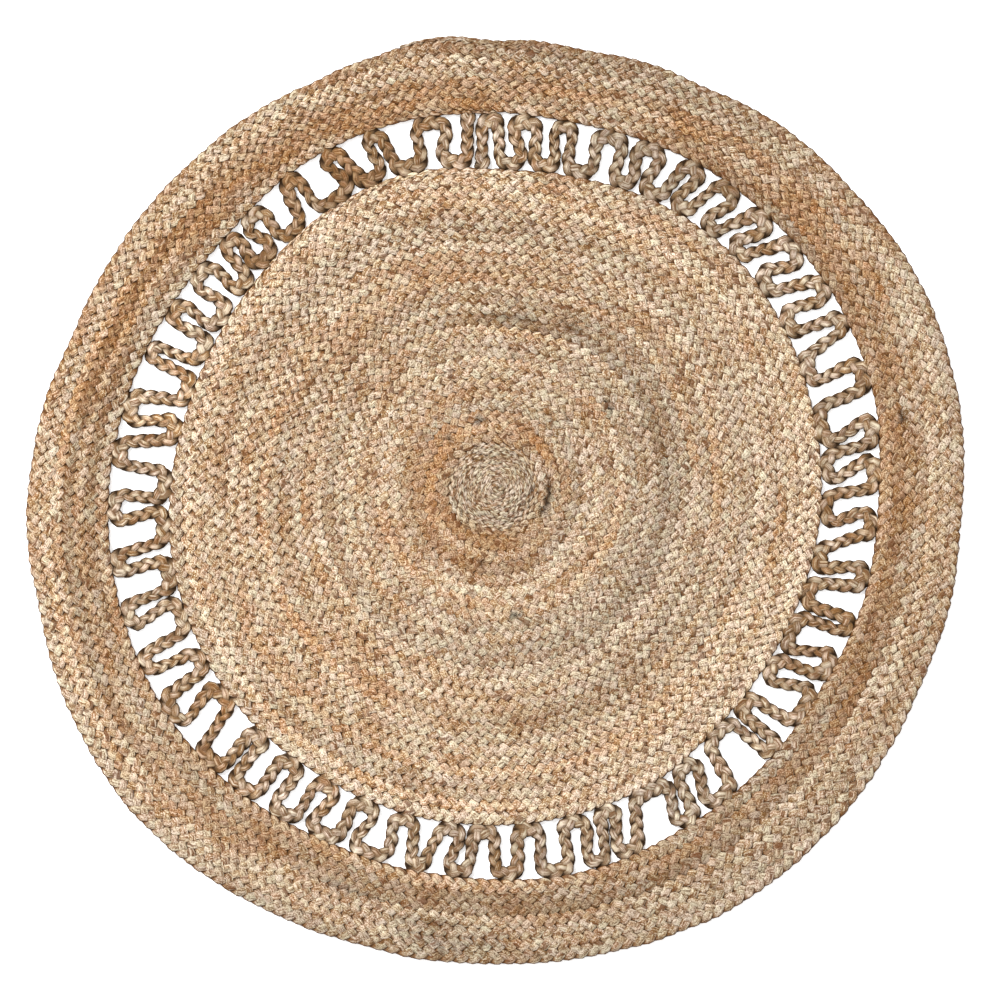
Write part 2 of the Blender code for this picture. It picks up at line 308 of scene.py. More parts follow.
def stain(obj):
    # gives the marked places on a plait their own colour
    mesh = obj.data
    count = len(mesh.vertices)
    places = np.empty(count * 3, dtype=np.float32)
    mesh.vertices.foreach_get("co", places)
    heart = middle - Vector((*disc["heart"], 0)) * mm
    across = (places.reshape(-1, 3)[:, :2] + np.array(tuple(heart.xy), dtype=np.float32)) / mm
    radius = np.hypot(across[:, 0], across[:, 1])
    angle = np.arctan2(across[:, 1], across[:, 0])
    shade, rust = (np.empty(count, dtype=np.float32) for key in range(2))
    mesh.attributes["shade"].data.foreach_get("value", shade)
    mesh.attributes["rust"].data.foreach_get("value", rust)
    for x, y, halfLength, halfWidth, darker, tint in marks:
        reach = math.hypot(x, y)
        apart = (angle - math.atan2(y, x) + math.pi) % (2 * math.pi) - math.pi
        share = 1 - (apart * reach / halfLength) ** 2 - ((radius - reach) / halfWidth) ** 2
        share = np.clip(share * markFirmness, 0, 1)
        shade *= 1 + (darker - 1) * share
        rust += (tint - rust) * share
    mesh.attributes["shade"].data.foreach_set("value", shade)
    mesh.attributes["rust"].data.foreach_set("value", rust)


def strandPeriod(radius):
    radii, periods = ([row[column] * mm for row in winding["periods"]] for column in (0, 1))
    return float(np.interp(radius, radii, periods))


def eased(x):
    x = min(max(x, 0.0), 1.0)
    return x * x * (3 - 2 * x)


def bentRim(heading):
    # the outline of the rim with its dents and bulges
    size = 0.0
    for middleHeading, half, bend in rimBends:
        apart = (heading - middleHeading + 180) % fullTurn - 180
        size += bend * math.exp(-(apart / half) ** 2)
    return outlineRadius(rim, heading) + size * mm


def discShare(turns):
    # how far out the winding has come after so many turns, 1 at the disc's edge
    edge = sum(row[discEdge] for row in outlines) / len(outlines)
    core = disc["coreRounds"] * disc["corePitch"] / edge
    if turns < disc["coreRounds"]:
        return core * turns / disc["coreRounds"]
    return core + (1 - core) * (turns - disc["coreRounds"]) / disc["broadRounds"]


def steppedTurns(turns, jog):
    # a round keeps its distance to the edge nearly all the way and moves out within a part of the turn
    whole = math.floor(turns)
    part = turns - whole
    stepped = min(whole / disc["settled"], 1)
    return whole + part * (1 - stepped) + eased(part / jog) * stepped


def woundLine(rounds, startHeading, innerPoint, outerPoint, share, colour, wave):
    # rows of what the plait is like at each point, from the first round's start to the last one's end;
    # share says how far out it has come, and wave how much of the waves it takes there
    def reach(turns):
        return share(min(max(turns, 0.0), float(rounds)))

    rows = []
    turns = phase = along = 0.0
    while turns < rounds + 1:
        heading = startHeading + fullTurn * turns
        inner, outer = innerPoint(heading), outerPoint(heading)
        near, far = reach(turns - 1), reach(turns)
        span = (outer - inner).length
        place = inner.lerp(outer, (near + far) / 2)
        outwards = (outer - inner).normalized()
        width = span * (far - near)
        radius = (place - innerPoint(None)).length
        step = strandPeriod(radius) / winding["samples"]
        place = place + outwards * width * winding["stray"] * ripple(winding["strayLength"], along, 2.0)
        place = place + outwards * waves(heading, (near + far) / 2) * wave((near + far) / 2)
        rows.append((place, outwards, width, phase, along, *colour(turns, heading, radius, along)))
        turns += min(step / (2 * math.pi * max(radius, 1 * mm)), 1 / winding["fewest"])
        uneven = winding["uneven"] * ripple(winding["unevenLength"], along, 4.0)
        phase += 2 * math.pi / winding["samples"] * (1 + uneven)
        along += step
    return rows


def lineArrays(rows, fullWidth):
    # a tapered end is dropped where it gets thinner than a strand
    rows = [row for row in rows if row[2] > winding["thinnest"] * fullWidth]
    low, high = winding["seamHeight"] * mm, winding["thickness"] * mm
    widths = np.array([row[2] for row in rows])
    fullness = np.minimum(widths / (winding["fullRound"] * mm), 1)
    return {
        "place": np.array([tuple(row[0] - middle) for row in rows]),
        "aside": np.array([tuple(row[1]) for row in rows]),
        "width": widths,
        "thick": low + (high - low) * fullness,
        "phase": np.array([row[3] for row in rows]),
        "haste": winding["haste"] * fullness ** 3,  # fine rounds are plaited evenly
        "slim": 1 - fullness,
        "along": np.array([row[4] for row in rows]),
        "shade": np.array([row[5] for row in rows]),
        "rust": np.array([row[6] for row in rows]),
    }


def discLine():
    heart = Vector((*disc["heart"], 0)) * mm
    rounds = disc["coreRounds"] + disc["broadRounds"]

    def share(turns):
        if turns < disc["coreRounds"]:
            return discShare(turns)
        past = turns - disc["coreRounds"]
        return discShare(disc["coreRounds"] + min(steppedTurns(past, disc["jog"]), disc["broadRounds"]))

    def colour(turns, heading, radius, along):
        return yarnColour(discYarn, radius / mm, along, discSides, heading)

    rows = woundLine(
        rounds, disc["startHeading"], lambda heading: heart,
        lambda heading: at(heading, outlineRadius(discEdge, heading)), share, colour,
        lambda part: min(4 * part * (1 - part), 1))
    return lineArrays(rows, disc["corePitch"] * mm)


def borderLine():
    def innerPoint(heading):
        return Vector() if heading is None else at(heading, outlineRadius(opening, heading))

    def share(turns):
        whole = math.floor(turns)
        return (whole + eased((turns - whole) / border["jog"])) / border["rounds"]

    def colour(turns, heading, radius, along):
        return yarnColour(borderYarn, turns - 0.5, along + yarn["borderStart"], borderSides, heading)

    rows = woundLine(
        border["rounds"], border["startHeading"], innerPoint,
        lambda heading: at(heading, bentRim(heading)), share, colour, lambda part: part)
    return lineArrays(rows, border["roundWidth"] * mm)


def plaitLimit(heading, outwards):
    # the furthest out or in that the middle of the openwork's plait may lie
    half = (openwork["seam"] + openwork["width"] / 2) * mm
    if outwards:
        return outlineRadius(opening, heading) - half
    return outlineRadius(discEdge, heading) + half


def turnBack(start, end, outwards):
    # points of a turn from one leg's heading to the next one's, along the border or the disc
    towardsEdge = 1 if outwards else -1
    halfway = (start + end) / 2
    half = math.radians(end - start) / 2 * plaitLimit(halfway, outwards)
    bend = min(half, openwork["turnRadius"] * mm)
    first, second = [], []
    for corner in (0, 30, 60, 90):
        drop = bend * (1 - math.sin(math.radians(corner)))
        shift = bend * (1 - math.cos(math.radians(corner)))
        for leg, onward, points in ((start, 1, first), (end, -1, second)):
            heading = leg + onward * math.degrees(shift / plaitLimit(leg, outwards))
            points.append(at(heading, plaitLimit(heading, outwards) - towardsEdge * drop))
    if half - bend < openwork["flatTurn"] * mm:
        first[-1] = at(halfway, plaitLimit(halfway, outwards))
        second.pop()
    return first + second[::-1]


def openworkLine():
    # two legs for each loop, from the first leg's end by the border to the last one's by the disc
    turn, width = openwork["turnRadius"] * mm, openwork["width"]
    legs = [openwork["firstLeg"]]
    for foot, footGap, head, headGap in loops:
        low = plaitLimit(foot, False) + turn
        high = plaitLimit(head, True) - turn
        footHalf = math.degrees((footGap + width) / 2 * mm / low)
        headHalf = math.degrees((headGap + width) / 2 * mm / high)
        legs.append((foot - footHalf, head - headHalf))
        legs.append((foot + footHalf, head + headHalf))
    start, end = legs[0][1], legs[-1][0]
    route = [at(start, plaitLimit(start, True) + width / 2 * mm)]
    for number in range(len(legs) - 1):
        outwards = number % 2 == 1
        route += turnBack(legs[number][number % 2], legs[number + 1][number % 2], outwards)
    route.append(at(end, plaitLimit(end, False) - width / 2 * mm))
    return evenLine(route)


def evenLine(route):
    # evenly spaced points on a smooth curve through the route, and what the plait is like there
    points = np.array([tuple(p) for p in route])
    fine = []
    for i in range(len(points) - 1):
        near = [points[min(max(i + k, 0), len(points) - 1)] for k in (-1, 0, 1, 2)]
        fine += [smoothBetween(*near, share) for share in np.arange(0, 1, 0.125)]
    fine = np.array(fine + [points[-1]])
    lengths = np.concatenate(([0], np.cumsum(np.linalg.norm(np.diff(fine, axis=0), axis=1))))
    step = openwork["period"] * mm / winding["samples"]
    along = np.arange(0, lengths[-1], step)
    place = np.stack([np.interp(along, lengths, fine[:, axis]) for axis in range(3)], axis=1)
    tangent = np.gradient(place, axis=0)
    tangent /= np.linalg.norm(tangent, axis=1)[:, None]
    aside = np.stack([tangent[:, 1], -tangent[:, 0], np.zeros(len(tangent))], axis=1)
    headings = np.degrees(np.arctan2(place[:, 1], place[:, 0])) % fullTurn
    headings[headings < openworkYarn[0][0]] += fullTurn
    colours = np.array([yarnColour(openworkYarn, heading, s + yarn["openworkStart"])
                        for heading, s in zip(headings, along)])
    patches = [openwork["patches"] * ripple(openwork["patchLength"], s, 11.0) for s in along]
    colours[:, 0] *= openwork["lightness"] + np.array(patches)
    colours[:, 1] += [openwork["rustPatches"] * ripple(openwork["rustLength"], s, 13.0) for s in along]
    print(f"openwork plait: {lengths[-1]:.3f} m long")
    widths = []
    for spot, heading, s in zip(place, headings, along):
        inner, outer = (outlineRadius(column, heading) for column in (discEdge, opening))
        part = (np.linalg.norm(spot[:2]) - inner) / (outer - inner)
        turning = eased((abs(2 * part - 1) - 0.4) / 0.4)  # from 0 along a leg to 1 in a turn
        loose = openwork["loose"] * ripple(openwork["looseLength"], s, 7.0)
        widths.append(1 + openwork["spread"] * turning + loose)
    widths = np.array(widths) * openwork["width"] * mm
    return {
        "place": place - np.array(tuple(middle)),
        "aside": aside,
        "width": widths,
        "thick": np.full(len(along), openwork["thickness"] * mm),
        "phase": along / (openwork["period"] * mm) * 2 * math.pi,
        "haste": np.full(len(along), openwork["haste"]),
        "slim": np.zeros(len(along)),
        "along": along,
        "shade": colours[:, 0],
        "rust": colours[:, 1],
    }


# A plait: three strands that pass over and under each other along a line. Sizes are shares of its
# width where no unit is given.
plait = {
    "Strands": 3,
    "Fullness": 1.18,        # rounds are sewn so tight that they press into each other by this much
    "Sway": 0.27,            # of the plait's width, how far a strand swings to each side
    "Rise": 0.19,            # how far it climbs over and dips under
    "Edge Lift": 0.14,       # how much higher it lies at the plait's edges than in the middle
    "Middle": 0.46,          # height of the plait's middle above the floor
    "Strand Width": 0.68,
    "Strand Height": 0.48,
    "Squareness": 0.45,      # 1 is an oval section, less is a fuller one
    "Sides": 6,
    "Wander": 0.7 * mm,      # how far a strand strays to the side
    "Wander Rate": 40.0,     # how quickly that changes, per metre
    "Swell": 0.28,           # how much its girth varies, half of it to each side
    "Swell Rate": 55.0,
    "Lumps": 0.9 * mm,       # how much its surface stands out and in
    "Lump Rates": (200.0, 200.0, 90.0),  # over the strand's width and height, and along it
    "Strand Offset": 50.0,   # m along its chance from one strand to the next, so that they differ
    "Seed": 7,
}

# The openwork's plait is looser and rounder.
looser = {
    "Fullness": 1.1,
    "Sway": 0.26,
    "Rise": 0.2,
    "Edge Lift": 0.02,
    "Strand Width": 0.50,
    "Squareness": 0.8,
    "Wander": 1.6 * mm,
    "Swell": 0.45,
    "Lumps": 1.4 * mm,
    "Seed": 11,
}


def plaitTree():
    tree = bpy.data.node_groups.new("threeStrandPlait", "GeometryNodeTree")
    face = tree.interface
    face.new_socket("Geometry", in_out="INPUT", socket_type="NodeSocketGeometry")
    kinds = {int: "NodeSocketInt", float: "NodeSocketFloat", tuple: "NodeSocketVector"}
    for name, value in plait.items():
        face.new_socket(name, in_out="INPUT", socket_type=kinds[type(value)])
    face.new_socket("Material", in_out="INPUT", socket_type="NodeSocketMaterial")
    face.new_socket("Geometry", in_out="OUTPUT", socket_type="NodeSocketGeometry")
    given = addNode(tree, "NodeGroupInput").outputs

    def attribute(name, dataType="FLOAT"):
        return addNode(tree, "GeometryNodeInputNamedAttribute", {"data_type": dataType}, {"Name": name})

    def stored(geometry, name, value, dataType="FLOAT"):
        settings = {"domain": "POINT", "data_type": dataType}
        inputs = {"Geometry": geometry, "Name": name, "Value": value}
        return addNode(tree, "GeometryNodeStoreNamedAttribute", settings, inputs)

    def scaled(vector, factor):
        return addNode(tree, "ShaderNodeVectorMath", {"operation": "SCALE"}, {0: vector, "Scale": factor})

    line = addNode(tree, "GeometryNodeMeshToCurve", None, {"Mesh": given["Geometry"]})
    copies = addNode(tree, "GeometryNodeDuplicateElements", {"domain": "SPLINE"},
                     {"Geometry": line, "Amount": given["Strands"]})
    number = copies.outputs["Duplicate Index"]
    width = calc(tree, "MULTIPLY", attribute("width"), given["Fullness"])

    # each strand is a third of the way behind the one before
    part = calc(tree, "DIVIDE", number, given["Strands"])
    angle = calc(tree, "MULTIPLY_ADD", part, 2 * math.pi, attribute("phase"))
    hurry = calc(tree, "COSINE", calc(tree, "MULTIPLY", angle, 2.0))
    angle = calc(tree, "MULTIPLY_ADD", hurry, attribute("haste"), angle)
    sine = calc(tree, "SINE", angle)
    doubleSine = calc(tree, "SINE", calc(tree, "MULTIPLY", angle, 2.0))
    strandAlong = calc(tree, "MULTIPLY_ADD", number, given["Strand Offset"], attribute("along"))
    ownPlace = addNode(tree, "ShaderNodeCombineXYZ", None, {0: given["Seed"], 2: strandAlong})

    swayed = calc(tree, "MULTIPLY", calc(tree, "MULTIPLY", sine, given["Sway"]), width)
    stray = calc(tree, "SUBTRACT", noisy(tree, ownPlace, given["Wander Rate"]), 0.5)
    stray = calc(tree, "MULTIPLY", stray, given["Wander"])
    stray = calc(tree, "MULTIPLY_ADD", stray, 4.0, swayed)  # a quarter to each side, taken four times
    sideways = scaled(attribute("aside", "FLOAT_VECTOR"), stray)

    climb = calc(tree, "MULTIPLY", doubleSine, given["Rise"])
    lift = calc(tree, "MULTIPLY", calc(tree, "MULTIPLY", sine, sine), given["Edge Lift"])
    height = calc(tree, "SUBTRACT", lift, climb)
    height = calc(tree, "ADD", height, given["Middle"])
    height = calc(tree, "MULTIPLY", height, width)
    upwards = addNode(tree, "ShaderNodeCombineXYZ", None, {2: height})
    offset = calcVector(tree, "ADD", sideways, upwards)
    strands = addNode(tree, "GeometryNodeSetPosition", None, {"Geometry": copies, "Offset": offset})
    strands = stored(strands, "strandAlong", strandAlong)
    strands = addNode(tree, "GeometryNodeSetCurveNormal", {"mode": "Z_UP"}, {"Curve": strands})

    # the section of a strand, with a flat top
    ring = addNode(tree, "GeometryNodeCurvePrimitiveCircle", None,
                   {"Resolution": given["Sides"], "Radius": 1.0})
    half = addNode(tree, "ShaderNodeCombineXYZ", None,
                   {0: given["Strand Width"], 1: given["Strand Height"]})
    half = scaled(half, 0.5)
    here = addNode(tree, "GeometryNodeInputPosition")
    size = addNode(tree, "ShaderNodeSeparateXYZ", None, {0: calcVector(tree, "ABSOLUTE", here)})
    toSide, toTop = (calc(tree, "POWER", size.outputs[i], given["Squareness"]) for i in (0, 1))
    fuller = addNode(tree, "ShaderNodeCombineXYZ", None, {0: toSide, 1: toTop})
    oval = calcVector(tree, "MULTIPLY", fuller, calcVector(tree, "SIGN", here))
    oval = calcVector(tree, "MULTIPLY", oval, half)
    section = stored(ring, "section", oval, "FLOAT_VECTOR")
    # how far towards its side each point of the section lies, which the material uses for painted shade
    # along a strand's edges
    section = stored(section, "edge", toSide)
    section = addNode(tree, "GeometryNodeSetPosition", None, {"Geometry": section, "Position": oval})

    girth = calc(tree, "SUBTRACT", noisy(tree, ownPlace, given["Swell Rate"]), 0.5)
    girth = calc(tree, "MULTIPLY", girth, given["Swell"])
    girth = calc(tree, "MULTIPLY_ADD", girth, 2.0, 1.0)
    girth = calc(tree, "MULTIPLY", girth, width)
    tubes = addNode(tree, "GeometryNodeCurveToMesh", None,
                    {"Curve": strands, "Profile Curve": section, "Scale": girth, "Fill Caps": True})

    # a place on the strand for its fibres: across the section, and along the strand
    across = scaled(attribute("section", "FLOAT_VECTOR"), width)
    lengthwise = addNode(tree, "ShaderNodeCombineXYZ", None, {2: attribute("strandAlong")})
    tubes = stored(tubes, "fibre", calcVector(tree, "ADD", across, lengthwise), "FLOAT_VECTOR")
    lumpSpot = calcVector(tree, "MULTIPLY", attribute("fibre", "FLOAT_VECTOR"), given["Lump Rates"])
    lumps = calc(tree, "SUBTRACT", noisy(tree, lumpSpot), 0.5)
    lumps = calc(tree, "MULTIPLY", lumps, given["Lumps"])
    outwards = scaled(addNode(tree, "GeometryNodeInputNormal"), lumps)
    tubes = addNode(tree, "GeometryNodeSetPosition", None, {"Geometry": tubes, "Offset": outwards})

    # how far out each place lies, 1 at the top and, for what faces down, at the underside; the material
    # paints shade by it
    here = addNode(tree, "ShaderNodeSeparateXYZ", None, {0: addNode(tree, "GeometryNodeInputPosition")})
    level = calc(tree, "DIVIDE", here.outputs[2], width)
    mirrored = calc(tree, "MULTIPLY_ADD", given["Middle"], 2.0, calc(tree, "MULTIPLY", level, -1.0))
    facing = addNode(tree, "ShaderNodeSeparateXYZ", None, {0: addNode(tree, "GeometryNodeInputNormal")})
    below = calc(tree, "LESS_THAN", facing.outputs[2], 0.0)
    level = addNode(tree, "ShaderNodeMix", {"data_type": "FLOAT"}, {0: below, 2: level, 3: mirrored})
    tubes = stored(tubes, "level", level)

    # pressed flat to the rug's own thickness
    squeeze = calc(tree, "DIVIDE", attribute("thick"), width)
    squeeze = addNode(tree, "ShaderNodeCombineXYZ", None, {0: 1.0, 1: 1.0, 2: squeeze})
    pressed = calcVector(tree, "MULTIPLY", addNode(tree, "GeometryNodeInputPosition"), squeeze)
    tubes = addNode(tree, "GeometryNodeSetPosition", None, {"Geometry": tubes, "Position": pressed})
    for name in ("width", "thick", "phase", "haste", "along", "aside", "section", "strandAlong"):
        tubes = addNode(tree, "GeometryNodeRemoveAttribute", None, {"Geometry": tubes, "Name": name})
    tubes = addNode(tree, "GeometryNodeSetShadeSmooth", None, {"Geometry": tubes})
    tubes = addNode(tree, "GeometryNodeRealizeInstances", None, {"Geometry": tubes})
    tubes = addNode(tree, "GeometryNodeSetMaterial", None,
                    {"Geometry": tubes, "Material": given["Material"]})
    addNode(tree, "NodeGroupOutput", None, {"Geometry": tubes})
    return tree


def lineObject(name, line):
    count = len(line["place"])
    mesh = bpy.data.meshes.new(name)
    mesh.vertices.add(count)
    mesh.vertices.foreach_set("co", line["place"].ravel())
    mesh.edges.add(count - 1)
    ends = np.stack([np.arange(count - 1), np.arange(1, count)], axis=1)
    mesh.edges.foreach_set("vertices", ends.ravel())
    for key in ("width", "thick", "phase", "haste", "slim", "along", "shade", "rust"):
        mesh.attributes.new(key, "FLOAT", "POINT").data.foreach_set("value", line[key])
    aside = mesh.attributes.new("aside", "FLOAT_VECTOR", "POINT")
    aside.data.foreach_set("vector", line["aside"].ravel())
    obj = bpy.data.objects.new(name, mesh)
    bpy.context.scene.collection.objects.link(obj)
    return obj


def madePlain(obj, tree, values):
    # the tree's result as a plain mesh, with the modifier gone
    modifier = obj.modifiers.new("nodes", "NODES")
    modifier.node_group = tree
    for item in tree.interface.items_tree:
        if item.in_out == "INPUT" and item.name in values:
            modifier[item.identifier] = values[item.name]
    evaluated = obj.evaluated_get(bpy.context.evaluated_depsgraph_get())
    mesh = bpy.data.meshes.new_from_object(evaluated)
    obj.modifiers.clear()
    line = obj.data
    obj.data = mesh
    mesh.name = obj.name
    bpy.data.meshes.remove(line)
    return obj


def plaitPieces(name, line, tree, material, cutShares=(0.0, 1.0), **changes):
    # one piece for each stretch between two cuts
    pieces = []
    count = len(line["place"])
    for number in range(len(cutShares) - 1):
        first, last = (round(share * (count - 1)) for share in cutShares[number:number + 2])
        stretch = {key: values[first:last + 1] for key, values in line.items()}
        label = name if len(cutShares) == 2 else f"{name}_{number + 1}"
        obj = madePlain(lineObject(label, stretch), tree, {**plait, **changes, "Material": material})
        stain(obj)
        triangles = sum(len(face.vertices) - 2 for face in obj.data.polygons)
        print(f"{label}: {triangles} triangles")
        pieces.append(obj)
    return pieces


# Packed fibre and sewing thread inside the plaits, painted dark brown for the shade deep between the
# strands.
ground = {
    "low": 1.4,              # mm above the floor
    "high": 4.2,
    "inset": 3.6,            # mm inside the edges of the disc and the border
    "plaitInset": 2.4,       # mm inside the edges of the openwork plait
    "segments": 120,         # points to a turn
    "skip": 3,               # one point of the ground for so many of the openwork plait's line
}


def thinSlab(name, left, right, closed):
    # between two rows of points, at the ground's height
    low, high = ground["low"] * mm, ground["high"] * mm
    count = len(left)
    corners = ((left, low), (right, low), (right, high), (left, high))
    points = [(p.x, p.y, z) for row, z in corners for p in row]
    faces = []
    for i in range(count if closed else count - 1):
        ahead = (i + 1) % count
        for side in range(4):
            first, other = side * count, (side + 1) % 4 * count
            faces.append((first + i, first + ahead, other + ahead, other + i))
    if not closed:
        faces.append([side * count for side in range(4)])
        faces.append([side * count + count - 1 for side in (3, 2, 1, 0)])
    return meshPiece(name, points, faces)


def meshPiece(name, points, faces):
    mesh = bpy.data.meshes.new(name)
    mesh.from_pydata(points, [], faces)
    mesh.update()
    obj = bpy.data.objects.new(name, mesh)
    bpy.context.scene.collection.objects.link(obj)
    return obj


def outlineRow(column, inset):
    step = fullTurn / ground["segments"]
    headings = [i * step for i in range(ground["segments"])]
    return [at(heading, outlineRadius(column, heading) - inset) - middle for heading in headings]


def discGround():
    inset = ground["inset"] * mm
    rimRow = outlineRow(discEdge, inset)
    count = len(rimRow)
    points = [(p.x, p.y, z * mm) for z in (ground["low"], ground["high"]) for p in rimRow]
    faces = [(i, (i + 1) % count, count + (i + 1) % count, count + i) for i in range(count)]
    faces.append(list(range(count))[::-1])
    faces.append(list(range(count, 2 * count)))
    return meshPiece("disc_ground", points, faces)


def borderGround():
    inset = ground["inset"] * mm
    return thinSlab("border_ground", outlineRow(opening, -inset), outlineRow(rim, inset), True)


def openworkGround(line):
    half = (openwork["width"] / 2 - ground["plaitInset"]) * mm
    places, asides = ([Vector(p) for p in line[key][::ground["skip"]]] for key in ("place", "aside"))
    left = [p - a * half for p, a in zip(places, asides)]
    right = [p + a * half for p, a in zip(places, asides)]
    return thinSlab("openwork_ground", left, right, False)


juteLook = {
    "roughness": 0.8,
    "specular": 0.12,
    "tones": (
        (0.33, "#8c6943"), (0.42, "#a28260"), (0.50, "#ad9478"), (0.58, "#b6a48c"), (0.67, "#c5b8a1"),
    ),
    "toneRate": 90.0,        # how quickly the tone changes across a strand, per metre
    "toneAlong": 22.0,       # mm, how soon it changes along it
    "rusty": "#a06429",
    "rustyShare": 0.5,       # how much of it shows where rust is 1
    "greyish": "#a99885",
    "greyishShare": -0.62,   # the same where rust is -1
    "streakAcross": 2.0,     # mm, one bundle of fibres, drawn as coarse as it needs to show
    "streakAlong": 5.0,      # mm
    "fray": 1.5,             # mm, loose fibre ends, drawn as coarse as they need to show
    "frayShare": 0.5,        # how much of them shows among the bundles
    "hollowShade": (0.49, 0.40),  # noise where the painted shade in hollows between bundles starts and is deepest
    "paleFibresAndHighlight": (0.51, 0.60),   # noise where pale fibres and painted highlight start and are palest
    "streakMost": 0.85,      # how much of either shows at the most
    "dark": "#5c3b20",       # painted shade in the hollows
    "pale": "#e6d7c1",       # the fibres on top, pale fibre and painted highlight
    "paleRusty": "#dfb27c",  # and the same on rusty yarn
    "pinkish": "#fffafd",    # two tints that the colour is multiplied by
    "golden": "#fdfff8",
    "tint": (0.38, 0.62),    # noise where a strand is all pinkish and all golden
    "tintRate": 120.0,       # per metre, across a strand
    "tintAlong": 16.0,       # mm
    "tintShift": (7.0, 3.0, 1.0),  # so that the tint doesn't go with the tone
    "bark": "#5c3517",
    "barkRates": (120.0, 120.0, 75.0),  # per metre, over a strand's width and height and along it
    "barkSpots": (0.655, 0.70),  # noise where a bit of bark starts and is darkest
    "barkMost": 0.75,
    "edge": (0.75, 0.90),    # share of the way to a strand's edge where its painted shade starts and stops darkening
    "edgeShadeMost": 1.0,         # how dark it gets
    "edgeShadeColour": "#351e0c",
    "flankShade": "#754c24",       # painted shade, brown on the flanks
    "flankShadeRange": (0.74, 0.62),  # of the plait's width, how high the flanks start and are brownest
    "flankShadeMost": 0.75,
    "creviceShade": "#311804",
    "creviceShadeRange": (0.62, 0.50),  # and the same of the painted shade in the crevices below them
    "creviceShadeMost": 1.0,
    "bump": 1.0,
    "bumpDepth": 0.8,        # mm
}

# The openwork's strands show their fibre bundles, with painted shade in the deep hollows between them.
openworkStrands = {
    **juteLook,
    "tones": (
        (0.36, "#84603a"), (0.43, "#a3805c"), (0.50, "#b3967a"), (0.57, "#bea892"), (0.64, "#d2c2ad"),
    ),
    "toneAlong": 14.0,
    "greyish": "#aaa296",
    "streakAcross": 2.1,
    "streakAlong": 16.0,
    "frayShare": 0.2,
    "edgeShadeMost": 0.5,
    "flankShade": "#6c5031",
    "flankShadeRange": (0.92, 0.72),
    "creviceShade": "#2b1b0b",
    "creviceShadeRange": (0.72, 0.52),
}

borderStrands = {**juteLook, "frayShare": 0.45}


